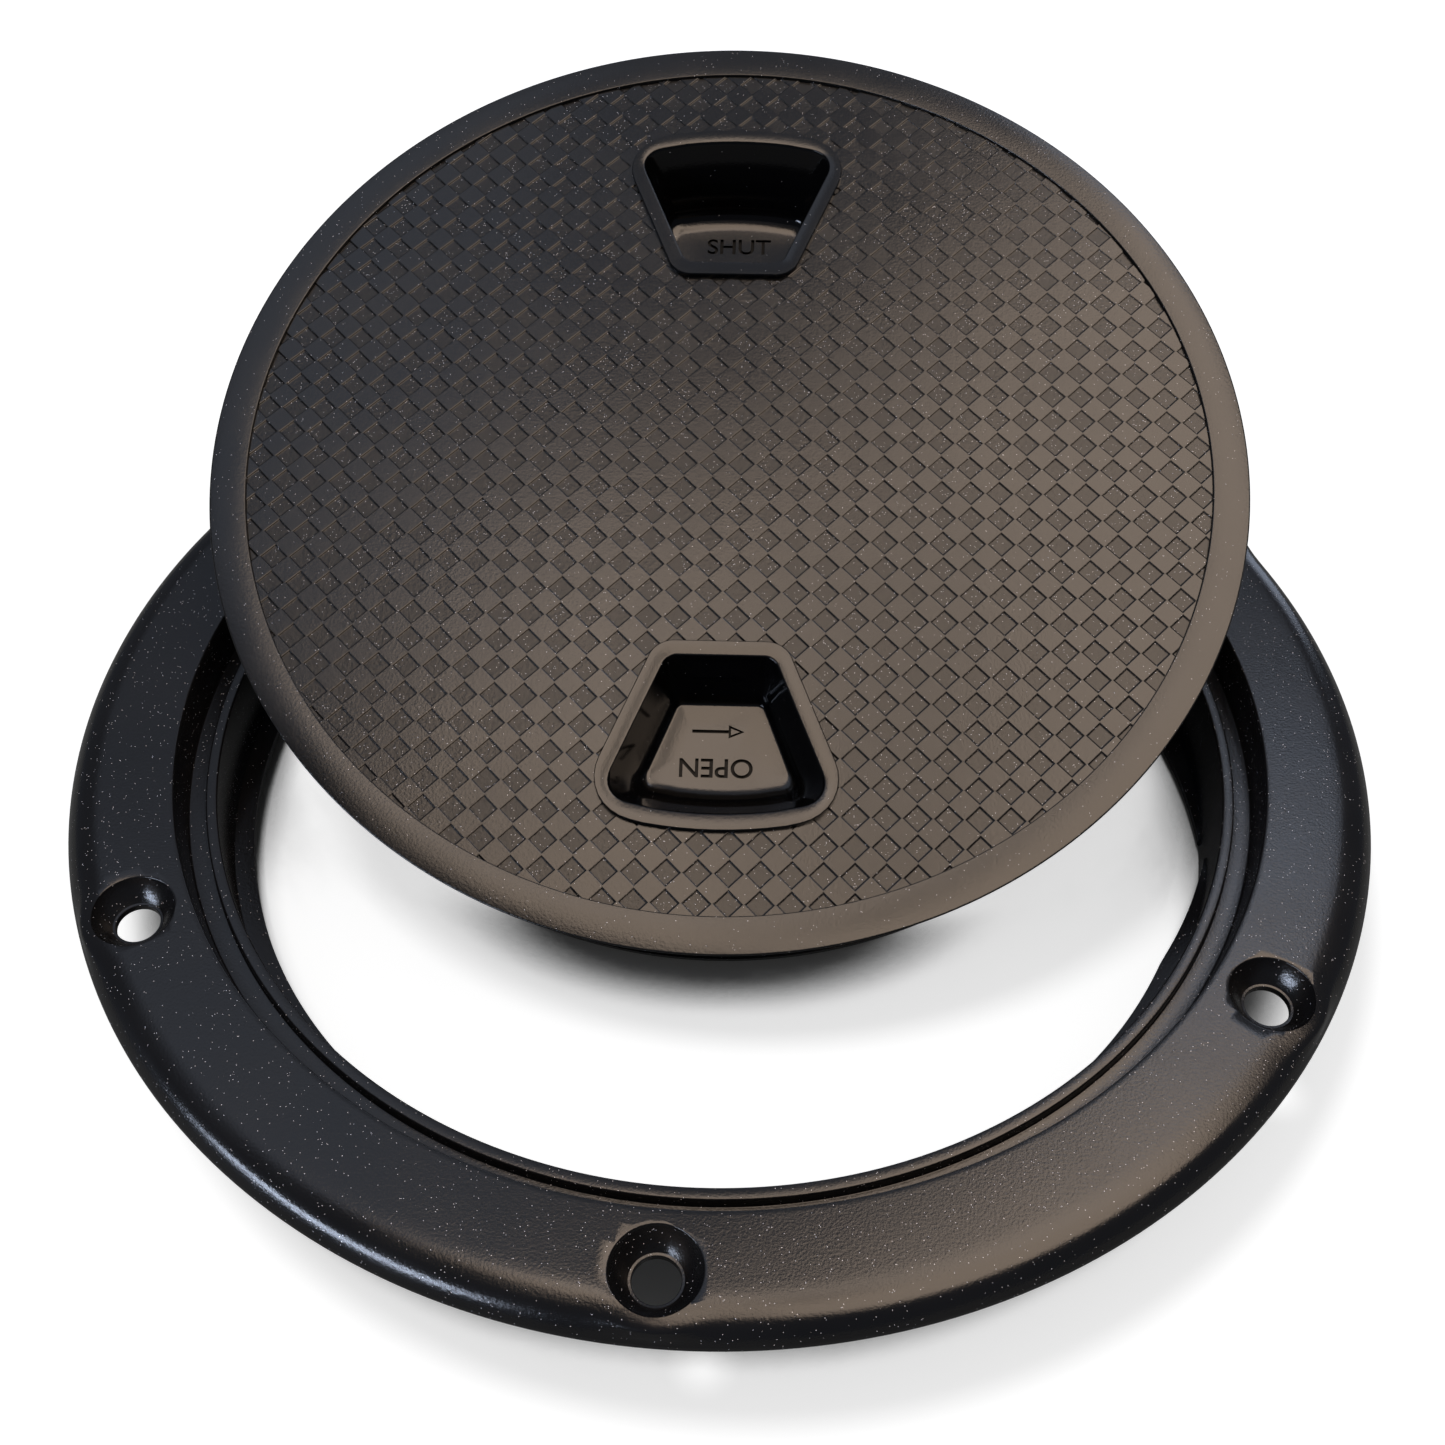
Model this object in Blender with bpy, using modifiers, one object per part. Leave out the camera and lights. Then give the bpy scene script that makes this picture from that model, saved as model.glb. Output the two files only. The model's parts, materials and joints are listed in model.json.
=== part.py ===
"""Round screw-out deck hatch: a flanged deck ring, a threaded lid and the O-ring that seals them.

Metres, +Z up. The ring stands on the foot of its collar, at z = 0. The lid is off its thread and
leans in the ring: the front of its skirt stands inside the opening, and its sides lie on the
flange's inner edge. The origin is the middle of the whole object's footprint.
"""

from math import atan2, cos, hypot, radians, sin, sqrt, tau

import bmesh
import bpy
from mathutils import Matrix, Vector

# ---------------------------------------------------------------- driving dimensions, in metres
# Ring, from the opening outwards
CLEAR_RADIUS = 0.0774  # inside the crest of the ring's thread
THREAD_HEIGHT = 0.0030
COLLAR_WALL = 0.0018
MOAT_WIDTH = 0.0030  # floor of the recess, outside the lip that the O-ring sits on
RECESS_DRAFT = 0.00075
FLANGE_WIDTH = 0.01655
# Ring, heights above and below the deck surface
FLANGE_INNER_HEIGHT = 0.0042
FLANGE_CROWN = 0.0005
COLLAR_DEPTH = 0.0185
LIP_RISE = 0.0020  # lip above the floor of the recess
RECESS_DEPTH = 0.0070  # flange's inner edge to the floor of the recess
SHELF_THICKNESS = 0.0022
OUTER_LIP_HEIGHT = 0.0019
# Deck screws
SCREW_COUNT = 6
SCREW_HOLE_RADIUS = 0.0032
COUNTERSINK_RADIUS = 0.0060
SCREW_EDGE_DISTANCE = 0.0084  # hole centre to the flange's edge
SCREW_PHASE = radians(-94.0)
# Thread
PITCH = 0.0040
RIDGE_ROOT = 0.0022  # axial thickness at the wall
RIDGE_CREST = 0.0012
THREAD_DEPTH = 0.0132  # deck surface to the middle of the ridge's upper end
RING_THREAD_START = radians(-12.0)
RING_THREAD_SWEEP = radians(355.0)
LID_THREAD_START = radians(60.0)  # seated, measured back from the ring's thread start
LID_THREAD_SWEEP = radians(180.0)
# Lid
RUN_CLEARANCE = 0.0006  # lid thread and neck to the ring, all round
LID_CLEARANCE = 0.0007  # lid's rim to the foot of the recess
RIM_THICKNESS = 0.0028
SKIRT_WALL = 0.0025
SKIRT_FOOT_GAP = 0.0007  # how far the seated skirt ends above the foot of the collar
NECK_LENGTH = 0.0045
NECK_CONE = 0.0030
EDGE_ROUND = 0.0009
# Finger pockets, measured from the lid's centre
POCKET_DEPTH = 0.0130
POCKET_NARROW = 0.0371  # distance to the straight inner end of the mouth
POCKET_RIM_DISTANCE = 0.0215  # lid's rim to the arc at the outer end of the mouth
POCKET_HALF_NARROW = 0.0083
POCKET_FLARE = 0.40  # growth of the half width for each metre outwards
POCKET_WALL = 0.0020
FRAME_WIDTH = 0.0028
FRAME_RISE = 0.0004
# O-ring
SEAL_SECTION = 0.0026
# Fits and places
TOUCH_GAP = 0.0003  # between pieces that touch
LEAN_BACK = 0.0352  # middle of the rim's underside behind the ring's axis, leaning
LEAN_SIDE = 0.0006
LEAN_ROLL = radians(-0.8)
LEAN_TURN = radians(-0.9)
STEPS = 72  # segments round a full turn

# ---------------------------------------------------------------- sizes that follow from them
COLLAR_RADIUS = CLEAR_RADIUS + THREAD_HEIGHT
LIP_RADIUS = COLLAR_RADIUS + COLLAR_WALL
RECESS_RADIUS = LIP_RADIUS + MOAT_WIDTH
EDGE_RADIUS = RECESS_RADIUS + RECESS_DRAFT
RING_RADIUS = EDGE_RADIUS + FLANGE_WIDTH
SCREW_CIRCLE = RING_RADIUS - SCREW_EDGE_DISTANCE
DECK = COLLAR_DEPTH  # height of the deck surface, the underside of the flange
FLOOR = DECK + FLANGE_INNER_HEIGHT - RECESS_DEPTH
LIP = FLOOR + LIP_RISE
FLANGE_TOP = DECK + FLANGE_INNER_HEIGHT
CROWN_TOP = FLANGE_TOP + FLANGE_CROWN

LID_RADIUS = RECESS_RADIUS - LID_CLEARANCE
NECK_RADIUS = COLLAR_RADIUS - RUN_CLEARANCE
SKIRT_RADIUS = CLEAR_RADIUS - RUN_CLEARANCE
SEAT = LIP + SEAL_SECTION + TOUCH_GAP  # height of the rim's underside when the lid is screwed down
LID_DEPTH = SEAT - SKIRT_FOOT_GAP  # rim's underside to the foot of the skirt
LID_THREAD_DEPTH = SEAT - (DECK - THREAD_DEPTH) + PITCH / 2
POCKET_ARC = LID_RADIUS - POCKET_RIM_DISTANCE
SEAL_RADIUS = NECK_RADIUS + TOUCH_GAP + SEAL_SECTION / 2

COLLECTION = "deck_hatch"
CUTTERS = "deck_hatch_cutters"


# ---------------------------------------------------------------- helpers
def clear_scene():
    for obj in list(bpy.data.objects):
        bpy.data.objects.remove(obj, do_unlink=True)


def collection(name):
    found = bpy.data.collections.get(name) or bpy.data.collections.new(name)
    if name not in bpy.context.scene.collection.children:
        bpy.context.scene.collection.children.link(found)
    return found


def plastic(name, color, roughness):
    material = bpy.data.materials.new(name)
    material.use_nodes = True
    shader = material.node_tree.nodes["Principled BSDF"]
    shader.inputs["Base Color"].default_value = (*color, 1.0)
    shader.inputs["Roughness"].default_value = roughness
    shader.inputs["Metallic"].default_value = 0.0
    return material


def new_object(name, data, where=COLLECTION):
    obj = bpy.data.objects.new(name, data)
    collection(where).objects.link(obj)
    if where == CUTTERS:
        obj.hide_render = True
        obj.display_type = "WIRE"
    return obj


def finish(obj, material):
    obj.data.materials.clear()
    obj.data.materials.append(material)
    obj.data.shade_smooth()
    obj.data.set_sharp_from_angle(angle=radians(35))


def baked(obj):
    """The object with its modifiers applied, as a mesh."""
    graph = bpy.context.evaluated_depsgraph_get()
    return bpy.data.meshes.new_from_object(obj.evaluated_get(graph))


def turned(name, profile, where=COLLECTION, steps=STEPS):
    """A closed profile of (radius, height) points, outer side running down, turned about Z."""
    mesh = bpy.data.meshes.new(name)
    shape = bmesh.new()
    points = [shape.verts.new((radius, 0.0, height)) for radius, height in profile]
    for first, second in zip(points, points[1:] + points[:1]):
        shape.edges.new((first, second))
    shape.to_mesh(mesh)
    shape.free()
    obj = new_object(name, mesh, where)
    screw = obj.modifiers.new("Turn", "SCREW")
    screw.axis = "Z"
    screw.steps = screw.render_steps = steps
    screw.use_merge_vertices = True
    screw.merge_threshold = 0.00001
    return obj


def combine(obj, other, operation):
    boolean = obj.modifiers.new(operation.title(), "BOOLEAN")
    boolean.operation = operation
    boolean.solver = "EXACT"
    boolean.object = other


def loft(name, sections, where=CUTTERS):
    """A closed solid through rings of points, all with the same number of points, from the top down."""
    shape = bmesh.new()
    rings = [[shape.verts.new(point) for point in section] for section in sections]
    for upper, lower in zip(rings, rings[1:]):
        for i in range(len(upper)):
            j = (i + 1) % len(upper)
            shape.faces.new((upper[i], lower[i], lower[j], upper[j]))
    shape.faces.new(rings[0])
    shape.faces.new(rings[-1][::-1])
    bmesh.ops.recalc_face_normals(shape, faces=shape.faces)
    mesh = bpy.data.meshes.new(name)
    shape.to_mesh(mesh)
    shape.free()
    return new_object(name, mesh, where)


# ---------------------------------------------------------------- thread
def helical_ridge(name, root, reach, upper_z, start, sweep):
    """A right-handed ridge that runs clockwise and down from its upper end. It stands on a wall of
    radius root and reaches by reach, inwards when reach is negative. Both ends fade into the wall."""
    sunk = COLLAR_WALL / 3 if reach < 0 else -COLLAR_WALL / 3
    section = bpy.data.curves.new(name + "_section", "CURVE")
    section.dimensions = "2D"
    outline = section.splines.new("POLY")
    corners = [(sunk, RIDGE_ROOT / 2), (0.0, RIDGE_ROOT / 2), (reach, RIDGE_CREST / 2)]
    corners += [(x, -y) for x, y in reversed(corners)]
    outline.points.add(len(corners) - 1)
    for point, (x, y) in zip(outline.points, corners):
        # A path that runs clockwise has its own x pointing to the axis.
        point.co = (-x, y, 0.0, 1.0)
    outline.use_cyclic_u = True
    guide = new_object(name + "_section", section, CUTTERS)

    path = bpy.data.curves.new(name, "CURVE")
    path.dimensions = "3D"
    path.twist_mode = "Z_UP"
    path.bevel_mode = "OBJECT"
    path.bevel_object = guide
    path.use_fill_caps = True
    line = path.splines.new("POLY")
    count = int(STEPS * sweep / tau) + 1
    line.points.add(count)
    fade = radians(18)
    for i, point in enumerate(line.points):
        turn = sweep * i / count
        angle = start - turn
        point.co = (root * cos(angle), root * sin(angle), upper_z - PITCH * turn / tau, 1.0)
        point.radius = min(1.0, 0.3 + 0.7 * min(turn, sweep - turn) / fade)
    curve = new_object(name + "_curve", path, CUTTERS)
    mesh = baked(curve)
    shape = bmesh.new()
    shape.from_mesh(mesh)
    bmesh.ops.remove_doubles(shape, verts=shape.verts, dist=0.000001)
    bmesh.ops.recalc_face_normals(shape, faces=shape.faces)
    shape.to_mesh(mesh)
    shape.free()
    ridge = new_object(name, mesh, CUTTERS)
    bpy.data.objects.remove(curve)
    bpy.data.objects.remove(guide)
    return ridge


# ---------------------------------------------------------------- ring
def flange_top(radius):
    """Height of the flange's crowned top between its inner edge and its outer shoulder."""
    share = (radius - EDGE_RADIUS) / (SCREW_CIRCLE - EDGE_RADIUS)
    return FLANGE_TOP + FLANGE_CROWN * sin(min(share, 1.0) * tau / 4)


def ring_profile():
    shoulder = RING_RADIUS - 0.0042
    lip_edge = RING_RADIUS - 0.0020
    outer_lip = DECK + OUTER_LIP_HEIGHT
    collar_outside = COLLAR_RADIUS + COLLAR_WALL + 0.0004
    drum = EDGE_RADIUS + 0.0016
    crown = [(r, flange_top(r)) for r in (EDGE_RADIUS + 0.0025, EDGE_RADIUS + 0.0055, SCREW_CIRCLE)]
    top = [(COLLAR_RADIUS, LIP), (LIP_RADIUS, LIP), (LIP_RADIUS, FLOOR), (RECESS_RADIUS, FLOOR)]
    top += [(EDGE_RADIUS, FLANGE_TOP)] + crown
    top += [
        (shoulder, CROWN_TOP - 0.0002),
        (shoulder + 0.0010, CROWN_TOP - 0.0007),
        (lip_edge - 0.0005, CROWN_TOP - 0.0018),
        (lip_edge - 0.0001, outer_lip),
        (lip_edge + 0.0012, outer_lip - 0.0004),
        (RING_RADIUS - 0.0002, outer_lip - 0.0011),
        (RING_RADIUS, DECK + 0.0003),
        (RING_RADIUS - 0.0002, DECK),
    ]
    below = [
        (drum, DECK),
        (drum, FLOOR - SHELF_THICKNESS),
        (collar_outside, FLOOR - SHELF_THICKNESS),
        (collar_outside, 0.0004),
        (collar_outside - 0.0004, 0.0),
        (COLLAR_RADIUS, 0.0),
    ]
    return top + below


def screw_cutters():
    """One countersunk hole for each deck screw, right through the flange."""
    bottom = DECK - 0.002
    cone_foot = CROWN_TOP - (COUNTERSINK_RADIUS - SCREW_HOLE_RADIUS)
    above = 0.001
    profile = [
        (0.0, CROWN_TOP + above),
        (COUNTERSINK_RADIUS + above, CROWN_TOP + above),
        (SCREW_HOLE_RADIUS, cone_foot),
        (SCREW_HOLE_RADIUS, bottom),
        (0.0, bottom),
    ]
    cutters = []
    for i in range(SCREW_COUNT):
        angle = SCREW_PHASE + tau * i / SCREW_COUNT
        source = turned(f"screw_cutter_{i + 1}_profile", profile, CUTTERS, steps=24)
        cutter = new_object(f"screw_cutter_{i + 1}", baked(source), CUTTERS)
        bpy.data.objects.remove(source)
        cutter.location = (SCREW_CIRCLE * cos(angle), SCREW_CIRCLE * sin(angle), 0.0)
        cutters.append(cutter)
    return cutters


def build_ring(anchor):
    ring = turned("deck_ring", ring_profile())
    start_z = DECK - THREAD_DEPTH
    thread = helical_ridge(
        "ring_thread", COLLAR_RADIUS, -THREAD_HEIGHT, start_z, RING_THREAD_START, RING_THREAD_SWEEP
    )
    combine(ring, thread, "UNION")
    thread.parent = anchor
    for cutter in screw_cutters():
        cutter.parent = anchor
        combine(ring, cutter, "DIFFERENCE")
    finish(ring, plastic("black_gloss_plastic", (0.012, 0.012, 0.014), 0.28))
    ring.parent = anchor
    return ring


# ---------------------------------------------------------------- lid
def rounded(corners, cuts, steps=5):
    """A polygon with each corner softened by a curve that starts its cut away from the corner."""
    points = []
    for i, (corner, cut) in enumerate(zip(corners, cuts)):
        if not cut:
            points.append(corner)
            continue
        to_last = (corners[i - 1] - corner).normalized()
        to_next = (corners[(i + 1) % len(corners)] - corner).normalized()
        first, last = corner + to_last * cut, corner + to_next * cut
        for k in range(steps + 1):
            s = k / steps
            points.append(first * (1 - s) ** 2 + corner * 2 * s * (1 - s) + last * s**2)
    return points


def pocket_outline(height, narrow, arc, half_narrow, cut, side):
    """The pocket's outline at a height: a straight inner end, flared sides and an arc at the rim."""
    flare = POCKET_FLARE
    a, b, c = 1 + flare**2, half_narrow - flare * narrow, arc
    reach = (-flare * b + sqrt((flare * b) ** 2 - a * (b * b - c * c))) / a
    half_wide = half_narrow + flare * (reach - narrow)
    spread = atan2(half_wide, reach)
    wide_cut = 1.6 * cut
    inner = spread - 1.3 * wide_cut / arc
    turns = [spread] + [inner * (1 - k / 4) for k in range(9)] + [-spread]
    corners = [Vector((-half_narrow, narrow)), Vector((half_narrow, narrow))]
    corners += [Vector((arc * sin(turn), arc * cos(turn))) for turn in turns]
    cuts = [cut, cut, wide_cut] + [0.0] * 9 + [wide_cut]
    return [Vector((side * p.x, side * p.y, height)) for p in rounded(corners, cuts)]


def pocket_sections(side, grow, top, rise):
    """Rings of points from the mouth down to the floor. grow moves every wall outwards."""
    depths = (0.0, 0.8 * POCKET_DEPTH, POCKET_DEPTH)
    narrows = (0.0, 0.0022, 0.0031)
    arcs = (0.0, 0.0068, 0.0088)
    halves = (0.0, 0.0012, 0.0020)
    rings = []
    for depth, narrow, arc, half in zip(depths, narrows, arcs, halves):
        lowered = depth + (grow if depth else 0.0)
        rings.append(
            pocket_outline(
                top + (rise if not depth else 0.0) - lowered,
                POCKET_NARROW + narrow - grow,
                POCKET_ARC - arc + grow,
                POCKET_HALF_NARROW - half + grow,
                0.0030 + grow / 2,
                side,
            )
        )
    return rings


def lid_profile():
    """Heights are from the underside of the rim."""
    inside = SKIRT_RADIUS - SKIRT_WALL
    neck_inside = NECK_RADIUS - SKIRT_WALL
    return [
        (0.0, RIM_THICKNESS),
        (LID_RADIUS - EDGE_ROUND, RIM_THICKNESS),
        (LID_RADIUS - 0.3 * EDGE_ROUND, RIM_THICKNESS - 0.3 * EDGE_ROUND),
        (LID_RADIUS, RIM_THICKNESS - EDGE_ROUND),
        (LID_RADIUS, 0.0003),
        (LID_RADIUS - 0.0003, 0.0),
        (NECK_RADIUS, 0.0),
        (NECK_RADIUS, -NECK_LENGTH),
        (SKIRT_RADIUS, -NECK_LENGTH - NECK_CONE),
        (SKIRT_RADIUS, -LID_DEPTH + 0.0005),
        (SKIRT_RADIUS - 0.0005, -LID_DEPTH),
        (inside, -LID_DEPTH),
        (inside, -NECK_LENGTH - NECK_CONE),
        (neck_inside, -NECK_LENGTH),
        (neck_inside, -0.0006),
        (neck_inside - 0.0010, 0.0004),
        (0.0, 0.0004),
    ]


def build_lid(anchor):
    lid = turned("screw_lid", lid_profile())
    thread = helical_ridge(
        "lid_thread",
        SKIRT_RADIUS,
        THREAD_HEIGHT,
        -LID_THREAD_DEPTH + PITCH * LID_THREAD_START / tau,
        RING_THREAD_START + LID_THREAD_START,
        LID_THREAD_SWEEP,
    )
    combine(lid, thread, "UNION")
    thread.parent = anchor
    for side, word in ((-1, "open"), (1, "shut")):
        frame_ring = [
            pocket_outline(
                height,
                POCKET_NARROW - FRAME_WIDTH,
                POCKET_ARC + FRAME_WIDTH,
                POCKET_HALF_NARROW + FRAME_WIDTH,
                0.0030 + FRAME_WIDTH / 2,
                side,
            )
            for height in (RIM_THICKNESS + FRAME_RISE, RIM_THICKNESS - 0.001)
        ]
        frame = loft(f"{word}_frame", frame_ring)
        cup_rings = pocket_sections(side, POCKET_WALL, RIM_THICKNESS - 0.001, 0.0)
        cup = loft(f"{word}_cup", cup_rings)
        hollow = loft(f"{word}_hollow", pocket_sections(side, 0.0, RIM_THICKNESS, 0.002))
        combine(lid, frame, "UNION")
        combine(lid, cup, "UNION")
        combine(lid, hollow, "DIFFERENCE")
        for piece in (frame, cup, hollow):
            piece.parent = anchor
    finish(lid, plastic("black_satin_plastic", (0.016, 0.015, 0.015), 0.42))
    lid.parent = anchor
    return lid


def build_seal(anchor):
    radius = SEAL_SECTION / 2
    height = -TOUCH_GAP - radius
    section = [tau * k / 12 for k in range(12)]
    profile = [(SEAL_RADIUS + radius * sin(a), height + radius * cos(a)) for a in section]
    seal = turned("lid_o_ring", profile)
    finish(seal, plastic("black_rubber", (0.02, 0.02, 0.02), 0.6))
    seal.parent = anchor
    return seal


# ---------------------------------------------------------------- where the lid leans
def lean_matrix(tilt):
    turns = Matrix.Rotation(tilt, 4, "X") @ Matrix.Rotation(LEAN_ROLL, 4, "Y")
    return turns @ Matrix.Rotation(LEAN_TURN, 4, "Z")


def lid_outline_points(turns):
    """Points on the lower edges that the lid sweeps as it turns, from its own datum."""
    thread_foot = LID_THREAD_DEPTH + PITCH * (LID_THREAD_SWEEP - LID_THREAD_START) / tau
    edges = (
        (SKIRT_RADIUS - 0.0005, -LID_DEPTH),
        (SKIRT_RADIUS, -LID_DEPTH + 0.0005),
        (SKIRT_RADIUS + THREAD_HEIGHT, -thread_foot - RIDGE_CREST / 2),
        (LID_RADIUS, 0.0),
    )
    for radius, height in edges:
        for k in range(720):
            angle = tau * k / 720
            yield turns @ Vector((radius * cos(angle), radius * sin(angle), height))


def support(radius):
    """Top of what is under a point at this distance from the ring's axis."""
    if radius < CLEAR_RADIUS:
        return 0.0
    if radius < COLLAR_RADIUS:
        return DECK - THREAD_DEPTH + RIDGE_ROOT / 2
    if radius < RECESS_RADIUS:
        return LIP
    if radius < EDGE_RADIUS:
        return FLOOR + RECESS_DEPTH * (radius - RECESS_RADIUS) / RECESS_DRAFT
    return flange_top(radius) if radius < RING_RADIUS else 0.0


def lean_height(tilt, on_flange):
    """Height of the lid's datum at which it just clears the surface below, or else the flange."""
    needed = []
    for point in lid_outline_points(lean_matrix(tilt)):
        radius = hypot(point.x + LEAN_SIDE, point.y + LEAN_BACK)
        if (radius >= RECESS_RADIUS) == on_flange:
            needed.append(support(radius) + TOUCH_GAP - point.z)
    return max(needed)


def lean():
    """The tilt at which the lid stands on its foot and lies on the flange at once."""
    low, high = 0.0, radians(60)
    for _ in range(24):
        middle = (low + high) / 2
        if lean_height(middle, True) > lean_height(middle, False):
            low = middle
        else:
            high = middle
    height = max(lean_height(high, True), lean_height(high, False))
    return Matrix.Translation((LEAN_SIDE, LEAN_BACK, height)) @ lean_matrix(high)


def anchor_empty(name, matrix):
    empty = new_object(name, None)
    empty.matrix_world = matrix
    return empty


def main():
    clear_scene()
    leaning = lean()
    rim = [(LID_RADIUS, 0.0003), (LID_RADIUS, RIM_THICKNESS - EDGE_ROUND)]
    rim.append((SKIRT_RADIUS, -LID_DEPTH + 0.0005))
    rear = max(
        (leaning @ Vector((r * cos(tau * k / 360), r * sin(tau * k / 360), z))).y
        for r, z in rim
        for k in range(360)
    )
    centre = Matrix.Translation((0.0, (RING_RADIUS - rear) / 2, 0.0))
    ring_place = anchor_empty("ring_axis", centre)
    lid_place = anchor_empty("lid_axis", centre @ leaning)
    bpy.context.view_layer.update()
    build_ring(ring_place)
    build_lid(lid_place)
    build_seal(lid_place)
    bpy.context.view_layer.update()


main()
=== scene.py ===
"""Builds the looks of a round screw-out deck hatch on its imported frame."""

import json
from math import asin, atan2, cos, hypot, pi, radians, sin, sqrt, tau

import bmesh
import bpy
from bpy.props import FloatProperty, FloatVectorProperty, IntProperty, PointerProperty
from mathutils import Matrix, Vector

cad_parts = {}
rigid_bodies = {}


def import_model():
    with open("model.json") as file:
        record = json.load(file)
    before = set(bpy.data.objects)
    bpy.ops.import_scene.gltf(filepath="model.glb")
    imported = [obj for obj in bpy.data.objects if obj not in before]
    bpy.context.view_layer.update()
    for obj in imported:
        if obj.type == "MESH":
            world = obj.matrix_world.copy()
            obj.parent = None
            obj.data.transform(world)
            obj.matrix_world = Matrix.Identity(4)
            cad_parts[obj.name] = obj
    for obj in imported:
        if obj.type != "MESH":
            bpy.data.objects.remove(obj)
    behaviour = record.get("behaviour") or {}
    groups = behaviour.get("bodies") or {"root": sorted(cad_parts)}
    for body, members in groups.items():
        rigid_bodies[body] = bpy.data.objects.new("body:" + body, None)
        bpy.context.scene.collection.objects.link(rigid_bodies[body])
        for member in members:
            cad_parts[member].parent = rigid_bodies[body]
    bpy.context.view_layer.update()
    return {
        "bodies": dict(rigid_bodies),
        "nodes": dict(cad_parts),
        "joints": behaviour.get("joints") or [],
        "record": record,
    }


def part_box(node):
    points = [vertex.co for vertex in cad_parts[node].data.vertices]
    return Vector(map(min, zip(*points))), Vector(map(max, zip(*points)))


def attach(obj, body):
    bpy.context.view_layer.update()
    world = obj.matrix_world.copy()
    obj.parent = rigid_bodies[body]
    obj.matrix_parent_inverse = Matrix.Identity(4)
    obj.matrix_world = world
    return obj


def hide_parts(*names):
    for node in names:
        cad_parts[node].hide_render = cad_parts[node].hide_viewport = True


bl_info = {
    "name": "Screw-out deck hatch",
    "version": (1, 0, 0),
    "blender": (4, 5, 0),
    "location": "View3D > Sidebar > Deck Hatch",
    "description": "Deck ring, treaded screw lid and O-ring, with their plastics and a studio stage",
    "category": "Object",
}

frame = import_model()
MM = 0.001
MERGE = 0.2e-6  # points closer than this are one point
THREAD_ROOT_SUNK = 0.7 * MM  # a ridge's root, buried in the wall it stands on
THREAD_FADE = radians(16)  # turn over which a ridge's end fades out
SHOULDER = 4.6 * MM  # rim to where the flange's top starts to fall
FIELD_BED = 0.6 * MM  # the tread's plate above the disc it lies on
TREAD_PLATE = 0.8 * MM  # thickness of the tread's plate
TREAD_GAP = 0.06 * MM  # tread's edge to the border
RELIEF = 0.06 * MM  # height of the moulded grain


# ---------------------------------------------------------------- places read from the frame
def ring_place():
    """The ring's axis, at the foot of its collar."""
    low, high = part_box("deck_ring")
    middle = (low + high) / 2
    return Matrix.Translation((middle.x, middle.y, low.z))


def lid_place(turn):
    """The lid's datum: the middle of its rim's underside, +Z out of its tread."""
    hinge = next(joint for joint in frame["joints"] if joint["name"] == "lid_turn")
    axis = Vector(hinge["axis"]).normalized()
    roll, tilt = asin(axis.x), atan2(-axis.y, axis.z)
    turns = Matrix.Rotation(tilt, 4, "X") @ Matrix.Rotation(roll, 4, "Y")
    return Matrix.Translation(Vector(hinge["pos_m"])) @ turns @ Matrix.Rotation(turn, 4, "Z")


# ---------------------------------------------------------------- sizes and colours
def length(name, value, text):
    return FloatProperty(name=name, default=value, unit="LENGTH", precision=5, description=text)


def angle(name, value, text):
    return FloatProperty(name=name, default=radians(value), unit="ROTATION", description=text)


def colour(name, value, text):
    return FloatVectorProperty(
        name=name, default=value, subtype="COLOR", min=0.0, max=1.0, description=text
    )


class HatchRingSizes(bpy.types.PropertyGroup):
    clear_radius: length("Clear radius", 0.0774, "Inside the crest of the ring's thread")
    thread_height: length("Thread height", 0.0030, "How far the thread stands in from the collar")
    collar_wall: length("Collar wall", 0.0018, "Width of the lip that the O-ring sits on")
    moat_width: length("Moat width", 0.0030, "Floor of the recess outside the lip")
    recess_draft: length("Recess draft", 0.00075, "Lean of the recess wall")
    flange_width: length("Flange width", 0.01655, "Recess edge to the outside of the flange")
    flange_height: length("Flange height", 0.0042, "Deck surface to the flange's inner edge")
    crown: length("Crown", 0.00005, "Rise of the flange's top")
    collar_depth: length("Collar depth", 0.0185, "Deck surface to the foot of the collar")
    recess_depth: length("Recess depth", 0.0070, "Flange's inner edge to the recess floor")
    lip_rise: length("Lip rise", 0.0020, "Lip above the recess floor")
    shelf: length("Shelf thickness", 0.0022, "Wall under the recess floor")
    edge_ease: length("Edge ease", 0.0003, "Softening of the flange's inner edge")
    screw_circle: length("Screw circle", 0.0941, "Radius of the circle of screw holes")
    screw_radius: length("Screw hole radius", 0.0032, "Bore of a screw hole")
    sink_radius: length("Countersink radius", 0.0060, "Mouth of a screw hole")
    boss_swell: length("Boss swell", 0.0012, "How far the shoulder swells out round a hole")
    screw_phase: angle("Screw phase", -94.0, "Direction of the front screw hole")
    screw_count: IntProperty(name="Screw holes", default=6, min=2, description="Holes in the flange")
    steps: IntProperty(name="Steps", default=288, min=48, description="Segments round the ring")


class HatchThreadSizes(bpy.types.PropertyGroup):
    pitch: length("Pitch", 0.0040, "Rise of the thread in one turn")
    root: length("Root", 0.0022, "Ridge thickness at the wall")
    crest: length("Crest", 0.0012, "Ridge thickness at its crest")
    depth: length("Depth", 0.0132, "Deck surface to the ring thread's upper end")
    ring_start: angle("Ring thread start", -12.0, "Direction of the ring thread's upper end")
    ring_sweep: angle("Ring thread sweep", 355.0, "Turn of the ring's thread")
    lid_lag: angle("Lid thread lag", 60.0, "Lid thread start behind the ring thread's")
    lid_sweep: angle("Lid thread sweep", 180.0, "Turn of the lid's thread")
    lid_depth: length("Lid thread depth", 0.0173, "Rim's underside to the lid's thread, seated")


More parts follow.
